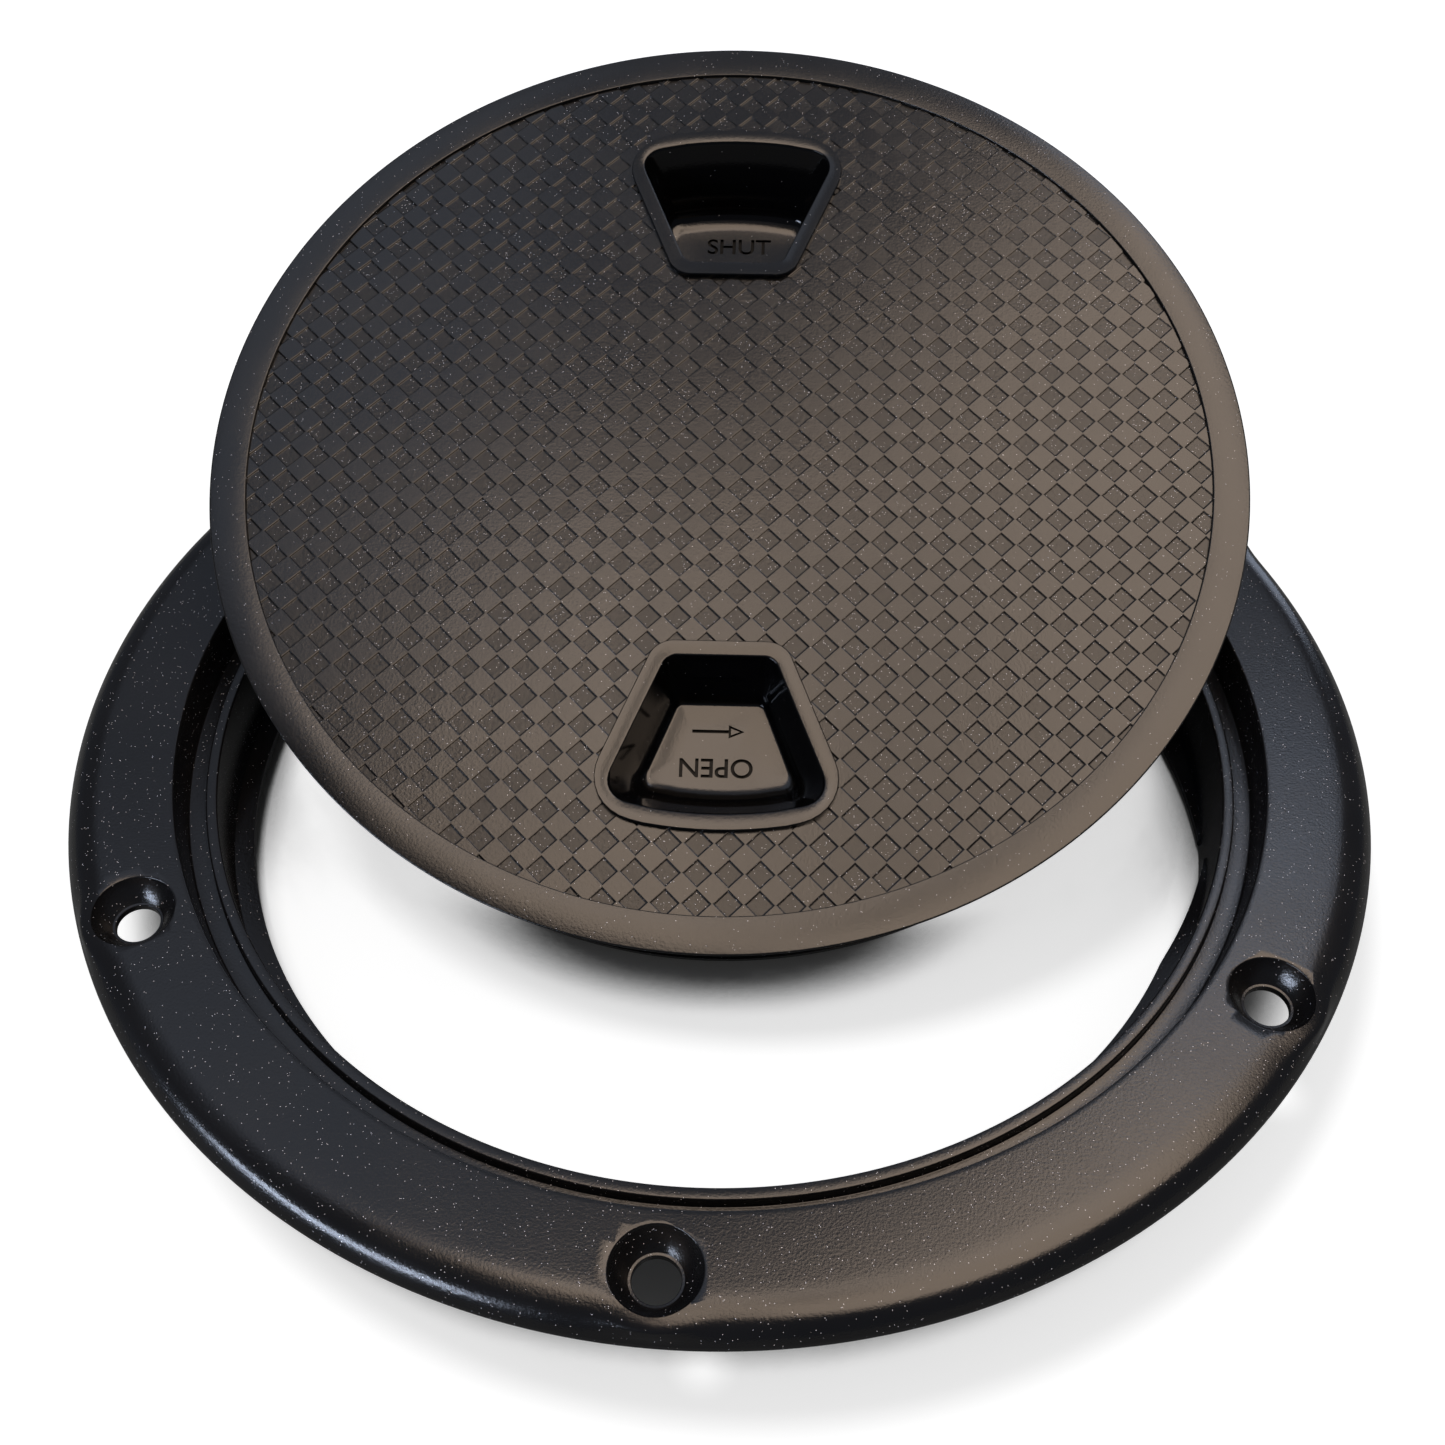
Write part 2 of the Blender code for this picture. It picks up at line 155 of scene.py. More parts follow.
class HatchLidSizes(bpy.types.PropertyGroup):
    radius: length("Radius", 0.0846, "Outside of the lid's rim, before its edge is eased")
    rim: length("Rim thickness", 0.0028, "Rim's underside to the border's top")
    taper: length("Rim taper", 0.0011, "Rim's upper edge outside its lower edge")
    ease: length("Edge ease", 0.00040, "Softening of the rim's upper edge")
    border_radius: length("Border radius", 0.0786, "Inner edge of the smooth border")
    border_step: length("Border step", 0.00045, "Drop from the border to the tread")
    neck_radius: length("Neck radius", 0.0798, "Neck that carries the O-ring")
    neck_length: length("Neck length", 0.0045, "Neck below the rim")
    neck_cone: length("Neck cone", 0.0030, "Slope from the neck to the skirt")
    skirt_radius: length("Skirt radius", 0.0768, "Outside of the skirt")
    skirt_wall: length("Skirt wall", 0.0025, "Thickness of the skirt")
    depth: length("Depth", 0.0199, "Rim's underside to the foot of the skirt")
    turn: angle("Turn", -0.9, "How far the lid is turned about its own axis")


class HatchTreadSizes(bpy.types.PropertyGroup):
    pitch: length("Pitch", 0.003285, "Side of one square of the pattern")
    land: length("Land", 0.00004, "Half the smooth strip between sunk squares' corners")
    chamfer: length("Chamfer", 0.00030, "Width of the slope at a sunk square's edge")
    sink: length("Sink", 0.00022, "Depth of a sunk square")
    cells: IntProperty(name="Cells", default=49, min=9, description="Squares along one side; odd")


class HatchPocketSizes(bpy.types.PropertyGroup):
    depth: length("Depth", 0.0130, "Lid's top to the pocket floor")
    narrow: length("Inner end", 0.0371, "Lid's centre to the straight inner end")
    arc: length("Outer arc", 0.0630, "Lid's centre to the arc at the outer end")
    half_narrow: length("Half narrow", 0.0083, "Half width of the inner end")
    flare: FloatProperty(name="Flare", default=0.40, description="Growth of the half width outwards")
    frame_width: length("Frame width", 0.0026, "Band round the mouth")
    frame_rise: length("Frame rise", 0.0004, "Frame above the border")
    floor_narrow: length("Floor inner end", 0.0400, "Lid's centre to the floor's inner end")
    floor_arc: length("Floor outer arc", 0.0541, "Lid's centre to the floor's outer end")
    floor_half_narrow: length("Floor half narrow", 0.0067, "Half width of the floor's inner end")
    floor_half_wide: length("Floor half wide", 0.0120, "Half width of the floor's outer end")
    mouth_tight: length("Mouth inner ease", 0.0015, "Softening of the mouth's inner corners")
    mouth_wide: length("Mouth outer ease", 0.0046, "Softening of the mouth's outer corners")
    floor_tight: length("Floor inner ease", 0.0009, "Softening of the floor's inner corners")
    floor_wide: length("Floor outer ease", 0.0024, "Softening of the floor's outer corners")
    wall: length("Wall", 0.0020, "Thickness of the pocket's wall")
    letter_height: length("Letter height", 0.0033, "Height of the sunk words")
    letter_width: FloatProperty(name="Letter width", default=1.02, description="Width over height")
    letter_sink: length("Letter sink", 0.00050, "Depth of the sunk words")
    letter_radius: length("Letter distance", 0.0507, "Lid's centre to the middle of the words")
    arrow_radius: length("Arrow distance", 0.0444, "Lid's centre to the arrow")


class HatchSealSizes(bpy.types.PropertyGroup):
    section: length("Section", 0.0026, "Diameter of the O-ring's section")
    gap: length("Gap", 0.0003, "Clearance to the rim and the neck")


class HatchFinish(bpy.types.PropertyGroup):
    ring_black: colour("Ring black", (0.0030, 0.0030, 0.0034), "Gloss plastic of the ring")
    lid_black: colour("Lid black", (0.0034, 0.0032, 0.0031), "Satin plastic of the lid")
    # painted shade: the pockets' walls get a darker black than the lid, for the shade inside the
    # pockets
    wall_painted_shade: colour("Wall black", (0.0010, 0.0010, 0.0012), "Shaded walls of the pockets")
    # painted shade: the sunk words and arrows get a darker black than the lid, for the shade in
    # their grooves
    letter_painted_shade: colour("Letter black", (0.0010, 0.0010, 0.0010), "Sunk words and arrows")
    seal_black: colour("Seal black", (0.012, 0.012, 0.012), "Rubber of the O-ring")
    # painted glints: the bright specks of the moulded grain are put in the colour
    glint_speck: colour("Spark", (0.50, 0.50, 0.55), "Fine bright grains in the moulded surface")


class HatchStage(bpy.types.PropertyGroup):
    eye: FloatVectorProperty(
        name="Eye",
        default=(0.0024, -0.1865, 0.2236),
        subtype="TRANSLATION",
        unit="LENGTH",
        description="Where the camera stands",
    )
    lens: FloatProperty(name="Lens", default=41.83, description="Focal length on a 36 mm sensor")
    down: angle("Down", 41.35, "Camera's turn up from straight down")
    pan: angle("Pan", 0.65, "Camera's turn about the vertical")
    lean: angle("Lean", 0.25, "Camera's turn about its own view")
    warm: colour("Warm light", (1.0, 0.78, 0.60), "Large soft light over the right side")
    cool: colour("Cool light", (0.70, 0.80, 1.0), "Surroundings and the low side light")
    floor: colour("Floor", (0.92, 0.92, 0.92), "Pale floor")


# ---------------------------------------------------------------- mesh helpers
def keep(bm, name, matrix, body, smooth=35.0):
    """The bmesh as a finished object at the origin that rides on a body."""
    mesh = bpy.data.meshes.new(name)
    bm.to_mesh(mesh)
    bm.free()
    mesh.transform(matrix)
    mesh.shade_smooth()
    mesh.set_sharp_from_angle(angle=radians(smooth))
    obj = bpy.data.objects.new(name, mesh)
    bpy.context.scene.collection.objects.link(obj)
    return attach(obj, body)


def loose(bm, name):
    """The bmesh as a scratch object."""
    mesh = bpy.data.meshes.new(name)
    bm.to_mesh(mesh)
    bm.free()
    obj = bpy.data.objects.new(name, mesh)
    bpy.context.scene.collection.objects.link(obj)
    return obj


def combined(bm, others, operation):
    """A new bmesh: bm cut by, joined to or kept within each of the other bmeshes."""
    base = loose(bm, "work")
    scraps = []
    for other in others:
        tool = loose(other, "tool")
        boolean = base.modifiers.new("Combine", "BOOLEAN")
        boolean.operation = operation
        boolean.solver = "EXACT"
        boolean.object = tool
        scraps.append(tool)
    graph = bpy.context.evaluated_depsgraph_get()
    mesh = bpy.data.meshes.new_from_object(base.evaluated_get(graph))
    result = bmesh.new()
    result.from_mesh(mesh)
    for obj in [base] + scraps:
        old = obj.data
        bpy.data.objects.remove(obj)
        bpy.data.meshes.remove(old)
    bpy.data.meshes.remove(mesh)
    bmesh.ops.remove_doubles(result, verts=result.verts, dist=MERGE)
    bmesh.ops.dissolve_degenerate(result, edges=result.edges, dist=MERGE)
    return result


def turned(profile, steps):
    """A closed profile of (radius, height, ease) points spun about Z. Ease softens a corner."""
    bm = bmesh.new()
    verts = [bm.verts.new((point[0], 0.0, point[1])) for point in profile]
    bm.faces.new(verts)
    for vert, point in zip(verts, profile):
        if len(point) > 2:
            bmesh.ops.bevel(
                bm, geom=[vert], offset=point[2], offset_type="OFFSET", segments=4,
                profile=0.5, affect="VERTICES", material=-1, clamp_overlap=True,
            )
    bmesh.ops.delete(bm, geom=bm.faces[:], context="FACES_ONLY")
    axis_edges = [e for e in bm.edges if max(abs(v.co.x) for v in e.verts) < 1e-7]
    bmesh.ops.delete(bm, geom=axis_edges, context="EDGES")
    bmesh.ops.spin(
        bm, geom=bm.verts[:] + bm.edges[:], cent=(0, 0, 0), axis=(0, 0, 1), dvec=(0, 0, 0),
        angle=tau, steps=steps, use_merge=True, use_duplicate=False,
    )
    bmesh.ops.remove_doubles(bm, verts=bm.verts, dist=1e-6)
    bmesh.ops.recalc_face_normals(bm, faces=bm.faces)
    return bm


def ridge(root, reach, upper_z, start, sweep, sizes, steps):
    """A right-handed thread ridge that runs clockwise and down, fading at both ends."""
    bm = bmesh.new()
    sunk = THREAD_ROOT_SUNK if reach < 0 else -THREAD_ROOT_SUNK
    section = [(root + sunk, sizes.root / 2), (root, sizes.root / 2)]
    section += [(root + reach, sizes.crest / 2)]
    section += [(r, -z) for r, z in reversed(section)]
    verts = [bm.verts.new((r, 0.0, upper_z + z)) for r, z in section]
    face = bm.faces.new(verts)
    bmesh.ops.delete(bm, geom=[face], context="FACES_ONLY")
    bmesh.ops.rotate(bm, verts=bm.verts, cent=(0, 0, 0), matrix=Matrix.Rotation(start, 3, "Z"))
    drop = Vector((0, 0, -sizes.pitch * sweep / tau / steps))
    bmesh.ops.spin(
        bm, geom=bm.verts[:] + bm.edges[:], cent=(0, 0, 0), axis=(0, 0, 1), dvec=drop,
        angle=-sweep, steps=steps, use_merge=False, use_duplicate=False,
    )
    bmesh.ops.holes_fill(bm, edges=[e for e in bm.edges if len(e.link_faces) == 1], sides=0)
    bmesh.ops.recalc_face_normals(bm, faces=bm.faces)
    for vert in bm.verts:
        turn = (start - atan2(vert.co.y, vert.co.x)) % tau
        turn = turn if turn < sweep + radians(2) else 0.0
        share = min(1.0, 0.1 + 0.9 * max(0.0, min(turn, sweep - turn)) / THREAD_FADE)
        radius = hypot(vert.co.x, vert.co.y)
        if (radius - root) * reach > 0:
            new = root + (radius - root) * share
            vert.co.x *= new / radius
            vert.co.y *= new / radius
    return bm


# ---------------------------------------------------------------- ring
def recess_radius(s):
    """Foot of the recess wall."""
    return s.clear_radius + s.thread_height + s.collar_wall + s.moat_width


def flange_edge(s):
    """The flange's inner edge, at the top of the recess wall."""
    return recess_radius(s) + s.recess_draft


def crown_height(s, radius):
    """Top of the flange, from its inner edge to the screw circle."""
    edge = flange_edge(s)
    share = max(0.0, min((radius - edge) / (s.screw_circle - edge), 1.0))
    return s.collar_depth + s.flange_height + s.crown * sin(share * pi / 2)


def ring_profile(s):
    """Lip, recess, flange, shoulder, underside and collar, as (radius, height, ease)."""
    collar = s.clear_radius + s.thread_height
    lip_edge = collar + s.collar_wall
    outside = lip_edge + 0.4 * MM
    recess = recess_radius(s)
    edge = flange_edge(s)
    underside = edge + 1.6 * MM
    rim = edge + s.flange_width
    deck = s.collar_depth
    floor = deck + s.flange_height - s.recess_depth
    lip = floor + s.lip_rise
    top = deck + s.flange_height + s.crown
    profile = [(collar, lip, 0.0003), (lip_edge, lip, 0.0003), (lip_edge, floor, 0.0002)]
    profile += [(recess, floor, 0.0003), (edge, crown_height(s, edge), s.edge_ease)]
    inner, outer = edge + 0.8 * MM, rim - SHOULDER - MM
    count = 12
    for k in range(count):
        radius = inner + (outer - inner) * k / count
        profile.append((radius, crown_height(s, radius)))
    profile += [
        (rim - SHOULDER, top - 0.00005, 0.0009),
        (rim - 0.0022, top - 0.0008, 0.0008),
        (rim - 0.0009, deck + 0.0022, 0.0006),
        (rim - 0.0001, deck + 0.0009, 0.0003),
        (rim, deck + 0.0003, 0.0001),
        (rim - 0.0002, deck),
        (underside, deck),
        (underside, floor - s.shelf, 0.0004),
        (outside, floor - s.shelf),
        (outside, 0.0004, 0.0003),
        (lip_edge, 0.0, 0.0001),
        (collar, 0.0, 0.0002),
    ]
    return profile


def screw_hole(s):
    """A cutter for a countersunk hole: an eased mouth, a flat step and a straight bore."""
    top = s.collar_depth + s.flange_height + s.crown
    cone_foot = top - (s.sink_radius - s.screw_radius) * 1.15
    mouth = s.sink_radius
    above, below = top + MM, s.collar_depth - 2 * MM
    profile = [
        (0.0, above),
        (mouth + 0.00035, above),
        (mouth + 0.00030, top + 0.00005),
        (mouth + 0.00008, top - 0.00006),
        (mouth - 0.00002, top - 0.00022),
        (mouth - 0.00010, top - 0.0007),
        (s.screw_radius + 0.00055, cone_foot + 0.00015),
        (s.screw_radius + 0.00040, cone_foot),
        (s.screw_radius + 0.00008, cone_foot - 0.00004),
        (s.screw_radius, cone_foot - 0.00012),
        (s.screw_radius, below),
        (0.0, below),
    ]
    return turned(profile, 48)


def swell_bosses(bm, s, holes):
    """Carry the flange's flat top outwards round each screw hole."""
    rim = flange_edge(s) + s.flange_width
    reach, fixed, ramp, foot = 8.5 * MM, 0.4 * MM, 1.6 * MM, 1.2 * MM
    for vert in bm.verts:
        radius = hypot(vert.co.x, vert.co.y)
        if vert.co.z < s.collar_depth + foot or radius < s.screw_circle:
            continue
        here = atan2(vert.co.y, vert.co.x)
        near = min(abs((here - hole + pi) % tau - pi) for hole in holes) * radius
        swell = s.boss_swell * (1 + cos(pi * min(near / reach, 1.0))) / 2
        ramp_in = min((radius - s.screw_circle) / (rim - SHOULDER - s.screw_circle), 1.0)
        ramp_out = max(0.0, min((rim - fixed - radius) / ramp, 1.0))
        new = radius + swell * ramp_in * ramp_out
        vert.co.x *= new / radius
        vert.co.y *= new / radius


def build_ring(s, threads):
    """The moulding with its thread, drilled for the screws."""
    bm = turned(ring_profile(s), s.steps)
    deck = s.collar_depth
    holes = [s.screw_phase + tau * k / s.screw_count for k in range(s.screw_count)]
    swell_bosses(bm, s, holes)
    thread = ridge(
        s.clear_radius + s.thread_height, -s.thread_height, deck - threads.depth,
        threads.ring_start, threads.ring_sweep, threads, int(s.steps * 0.98),
    )
    bm = combined(bm, [thread], "UNION")
    cutters = []
    for hole in holes:
        cutter = screw_hole(s)
        place = Vector((s.screw_circle * cos(hole), s.screw_circle * sin(hole), 0.0))
        bmesh.ops.translate(cutter, verts=cutter.verts, vec=place)
        cutters.append(cutter)
    return combined(bm, cutters, "DIFFERENCE")


# ---------------------------------------------------------------- lid
def lid_profile(s):
    """Heights from the rim's underside. The field inside the border is sunk for the tread."""
    inside = s.skirt_radius - s.skirt_wall
    neck_inside = s.neck_radius - s.skirt_wall
    field = s.rim - s.border_step - FIELD_BED
    under = 0.4 * MM
    return [
        (0.0, field),
        (s.border_radius, field),
        (s.border_radius, s.rim, 0.00018),
        (s.radius, s.rim, s.ease),
        (s.radius - s.taper, 0.0, 0.0003),
        (s.neck_radius, 0.0, 0.0001),
        (s.neck_radius, -s.neck_length, 0.0006),
        (s.skirt_radius, -s.neck_length - s.neck_cone, 0.0006),
        (s.skirt_radius, -s.depth, 0.0005),
        (inside, -s.depth, 0.0004),
        (inside, -s.neck_length - s.neck_cone, 0.0006),
        (neck_inside, -s.neck_length, 0.0004),
        (neck_inside, under, 0.0010),
        (0.0, under),
    ]


def pocket_outline(narrow, arc, half_narrow, flare, tight, wide):
    """A bmesh of one face at -Y: straight inner end, flared sides, an arc, eased corners."""
    offset = half_narrow - flare * narrow
    a = 1 + flare**2
    reach = (-flare * offset + sqrt((flare * offset) ** 2 - a * (offset**2 - arc**2))) / a
    spread = atan2(offset + flare * reach, reach)
    bm = bmesh.new()
    ends = [bm.verts.new((side * half_narrow, -narrow, 0)) for side in (-1, 1)]
    turns = [spread] + [spread * (1 - k / 8) for k in range(4, 13)] + [-spread]
    fan = [bm.verts.new((arc * sin(turn), -arc * cos(turn), 0)) for turn in turns]
    bm.faces.new(ends + fan)
    for verts, ease in ((ends, tight), ([fan[0], fan[-1]], wide)):
        bmesh.ops.bevel(
            bm, geom=verts, offset=ease, offset_type="OFFSET", segments=8,
            profile=0.5, affect="VERTICES", material=-1, clamp_overlap=True,
        )
    bmesh.ops.recalc_face_normals(bm, faces=bm.faces)
    return bm


def grown_outline(s, grow):
    """The mouth's outline, grown evenly; its corners grow rounder with it."""
    side = grow * sqrt(1 + s.flare**2) - grow * s.flare
    return pocket_outline(
        s.narrow - grow, s.arc + grow, s.half_narrow + side, s.flare,
        s.mouth_tight + 0.45 * grow, s.mouth_wide + 1.6 * grow,
    )


def floor_outline(s, grow):
    flare = (s.floor_half_wide - s.floor_half_narrow) / (s.floor_arc - s.floor_narrow)
    side = grow * sqrt(1 + flare**2) - grow * flare
    return pocket_outline(
        s.floor_narrow - grow, s.floor_arc + grow, s.floor_half_narrow + side, flare,
        s.floor_tight + 0.45 * grow, s.floor_wide + grow,
    )


def corners(bm):
    """The places round a one-face bmesh, in order."""
    places = [corner.co.copy() for corner in bm.faces[:][0].verts]
    bm.free()
    return places


def pocket_prism(bm, low, high):
    """The one-face outline stood up between two heights."""
    bmesh.ops.translate(bm, verts=bm.verts, vec=(0, 0, low))
    made = bmesh.ops.extrude_face_region(bm, geom=bm.faces[:])
    bmesh.ops.translate(
        bm, verts=[v for v in made["geom"] if isinstance(v, bmesh.types.BMVert)],
        vec=(0, 0, high - low),
    )
    bmesh.ops.recalc_face_normals(bm, faces=bm.faces)
    return bm


def step_in(bm, face, places, height):
    """One more band inwards: the face shrinks onto these places at this height."""
    bmesh.ops.inset_region(bm, faces=[face], thickness=1e-5, depth=0.0, use_even_offset=True)
    for vert, place in zip(face.verts, places):
        vert.co = (place.x, place.y, height)


def in_order(face, outline):
    """For each corner of the face, which place of the outline it stands on."""
    return [
        min(range(len(outline)), key=lambda k: (outline[k].xy - corner.co.xy).length)
        for corner in face.verts
    ]


def between(first, second, share):
    return [a.lerp(b, share) for a, b in zip(first, second)]


def pocket_shell(s, lid):
    """The frame and the cup of one pocket as a closed piece, at -Y."""
    top = lid.rim + s.frame_rise
    seat = lid.rim - lid.border_step - 0.0005
    ease = 0.00015
    bm = pocket_prism(grown_outline(s, s.frame_width), seat, top - ease)
    upper = max(bm.faces, key=lambda f: f.calc_center_median().z)
    lower = min(bm.faces, key=lambda f: f.calc_center_median().z)
    frame = corners(grown_outline(s, s.frame_width))
    mouth, floor = corners(grown_outline(s, 0.0)), corners(floor_outline(s, 0.0))
    order = in_order(upper, frame)
    frame, rim, pit = ([places[k] for k in order] for places in (frame, mouth, floor))
    for share, height in ((0.06, top), (0.90, top), (0.965, top - 0.4 * ease), (1.0, top - ease)):
        step_in(bm, upper, between(frame, rim, share), height)
    deep = s.depth + s.frame_rise - ease
    steps = [(0.04, 0.05), (0.30, 0.36), (0.58, 0.72)]
    for k in range(1, 9):
        turn = pi / 2 * k / 8
        steps.append((0.58 + 0.42 * (1 - cos(turn)), 0.72 + 0.28 * sin(turn)))
    for share, fall in steps:
        step_in(bm, upper, between(rim, pit, share), top - ease - deep * fall)
    order = in_order(lower, corners(grown_outline(s, s.frame_width)))
    outer = corners(grown_outline(s, s.wall * 0.55))
    cup = corners(floor_outline(s, s.wall * 0.8))
    outer, cup = ([places[k] for k in order] for places in (outer, cup))
    step_in(bm, lower, outer, seat)
    bottom = lid.rim - s.depth - s.wall
    for share, fall in ((0.45, 0.5), (0.85, 0.90), (1.0, 1.0)):
        step_in(bm, lower, between(outer, cup, share), seat + (bottom - seat) * fall)
    bmesh.ops.recalc_face_normals(bm, faces=bm.faces)
    return bm


def word_solid(word, s, floor_z):
    """The word as a solid to sink in the pocket's floor, its tops towards the rim."""
    curve = bpy.data.curves.new(word, "FONT")
    curve.body = word
    curve.extrude = 1.0
    curve.offset = 0.012  # a bolder stroke
    curve.align_x, curve.align_y = "CENTER", "CENTER"
    obj = bpy.data.objects.new(word, curve)
    bpy.context.scene.collection.objects.link(obj)
    bpy.context.view_layer.update()
    mesh = bpy.data.meshes.new_from_object(obj.evaluated_get(bpy.context.evaluated_depsgraph_get()))
    bpy.data.objects.remove(obj)
    bm = bmesh.new()
    bm.from_mesh(mesh)
    bpy.data.meshes.remove(mesh)
    bmesh.ops.remove_doubles(bm, verts=bm.verts, dist=1e-4)
    bmesh.ops.recalc_face_normals(bm, faces=bm.faces)
    low = Vector([min(v.co[i] for v in bm.verts) for i in range(3)])
    high = Vector([max(v.co[i] for v in bm.verts) for i in range(3)])
    size = s.letter_height / (high.y - low.y)
    middle = (low + high) / 2
    bmesh.ops.translate(bm, verts=bm.verts, vec=(-middle.x, -middle.y, 0))
    bmesh.ops.scale(bm, verts=bm.verts, vec=(size * s.letter_width, size, s.letter_sink))
    bmesh.ops.rotate(bm, verts=bm.verts, cent=(0, 0, 0), matrix=Matrix.Rotation(pi, 3, "Z"))
    bmesh.ops.translate(bm, verts=bm.verts, vec=(-0.0005, -s.letter_radius, floor_z))
    return bm


def arrow_solids(s, floor_z, direction):
    """A thin shaft and a hollow three-cornered head, in mm, as solids to sink in the floor."""

    def prism(points):
        bm = bmesh.new()
        face = bm.faces.new([bm.verts.new((x * direction, y, -1.0)) for x, y in points])
        made = bmesh.ops.extrude_face_region(bm, geom=[face])
        bmesh.ops.translate(
            bm, verts=[v for v in made["geom"] if isinstance(v, bmesh.types.BMVert)], vec=(0, 0, 2)
        )
        bmesh.ops.scale(bm, verts=bm.verts, vec=(MM, MM, s.letter_sink))
        bmesh.ops.recalc_face_normals(bm, faces=bm.faces)
        bmesh.ops.translate(bm, verts=bm.verts, vec=(-0.0004, -s.arrow_radius, floor_z))
        return bm

    tail, neck, shaft = -4.1, 2.0, 0.28
    tip, back, half, line, nib = 4.3, 1.75, 1.15, 0.38, 0.75
    waist = half - 0.2
    inside = half - line * sqrt(1 + (half / (tip - back)) ** 2)
    outlines = [
        [(tail, -shaft), (neck, -shaft), (neck, shaft), (tail, shaft)],
        [(back, -half), (back + line, -waist), (back + line, waist), (back, half)],
    ]
    for way in (1, -1):
        outlines.append([(back, way * half), (tip, 0.0), (tip - nib, 0.0), (back, way * inside)])
    return [prism(outline) for outline in outlines]


def build_pockets(s, lid):
    """Both pockets, the rear one the front one turned half round."""
    pieces = []
    floor_z = lid.rim - s.depth
    for word, direction, turn in (("OPEN", 1, 0.0), ("SHUT", -1, pi)):
        bm = pocket_shell(s, lid)
        bm = combined(bm, [word_solid(word, s, floor_z)], "DIFFERENCE")
        bm = combined(bm, arrow_solids(s, floor_z, direction), "DIFFERENCE")
        for face in bm.faces:
            below = floor_z - face.calc_center_median().z
            if 0.05 * s.letter_sink < below < 1.2 * s.letter_sink:
                face.material_index = 2  # words and arrow, their darker colour a painted shade
            elif face.normal.z < 0.80:
                face.material_index = 1  # walls, their darker colour a painted shade
        bmesh.ops.rotate(bm, verts=bm.verts, cent=(0, 0, 0), matrix=Matrix.Rotation(turn, 3, "Z"))
        pieces.append(bm)
    return pieces


def build_shell(lid, pocket, threads, steps):
    """Border, neck, skirt and thread of the lid, with windows for the pockets."""
    bm = turned(lid_profile(lid), steps)
    thread = ridge(
        lid.skirt_radius, lid.neck_radius - lid.skirt_radius,
        -threads.lid_depth + threads.pitch * threads.lid_lag / tau,
        threads.ring_start + threads.lid_lag, threads.lid_sweep, threads, steps // 2,
    )
    bm = combined(bm, [thread], "UNION")
    return combined(bm, pocket_windows(lid, pocket), "DIFFERENCE")


def pocket_windows(lid, pocket):
    """Cutters for the two pockets, a little inside the frames that cover their edges."""
    lap, past = 0.6 * MM, 2 * MM
    windows = []
    for turn in (0.0, pi):
        outline = grown_outline(pocket, pocket.frame_width - lap)
        window = pocket_prism(outline, -past, lid.rim + past)
        bmesh.ops.rotate(
            window, verts=window.verts, cent=(0, 0, 0), matrix=Matrix.Rotation(turn, 3, "Z")
        )
        windows.append(window)
    return windows


def build_tread(lid, pocket, s, steps):
    """A chequered plate: every other square sunk, its slopes and rough floor on their own faces."""
    bm = bmesh.new()
    bmesh.ops.create_grid(bm, x_segments=s.cells, y_segments=s.cells, size=s.cells * s.pitch / 2)
    bmesh.ops.rotate(bm, verts=bm.verts, cent=(0, 0, 0), matrix=Matrix.Rotation(pi / 4, 3, "Z"))
    half = s.pitch / sqrt(2)
    sunk = []
    for face in bm.faces:
        middle = face.calc_center_median()
        odd_x = round(middle.x / half) % 2 == 1
        if odd_x and middle.length < lid.border_radius + s.pitch:
            sunk.append(face)
    bmesh.ops.inset_individual(bm, faces=sunk, thickness=s.land, depth=0.0, use_even_offset=True)
    for width, fall in ((0.35, 0.18), (0.30, 0.64), (0.35, 0.18)):
        bmesh.ops.inset_individual(
            bm, faces=sunk, thickness=s.chamfer * width, depth=-s.sink * fall, use_even_offset=True
        )
    made = bmesh.ops.extrude_edge_only(bm, edges=[e for e in bm.edges if e.is_boundary])
    low = [v for v in made["geom"] if isinstance(v, bmesh.types.BMVert)]
    bmesh.ops.translate(bm, verts=low, vec=(0, 0, -TREAD_PLATE))
    bmesh.ops.holes_fill(bm, edges=[e for e in bm.edges if e.is_boundary], sides=0)
    bmesh.ops.recalc_face_normals(bm, faces=bm.faces)
    top = lid.rim - lid.border_step
    bmesh.ops.translate(bm, verts=bm.verts, vec=(0, 0, top))
    edge, above, under = lid.border_radius - TREAD_GAP, top + MM, top - 2 * MM
    disc = turned([(0.0, above), (edge, above), (edge, under), (0.0, under)], steps)
    bm = combined(bm, [disc], "INTERSECT")
    bm = combined(bm, pocket_windows(lid, pocket), "DIFFERENCE")
    for face in bm.faces:
        below = top - face.calc_center_median().z
        if face.normal.z > 0.9 and 0.9 * s.sink < below < 1.1 * s.sink:
            face.material_index = 1
    return bm


def build_seal(s, lid, steps):
    """A round section spun under the rim, just outside the neck."""
    radius = s.section / 2
    centre = lid.neck_radius + s.gap + radius
    height = -s.gap - radius
    turns = [tau * k / 20 for k in range(20)]
    profile = [(centre + radius * sin(turn), height + radius * cos(turn)) for turn in turns]
    return turned(profile, steps)


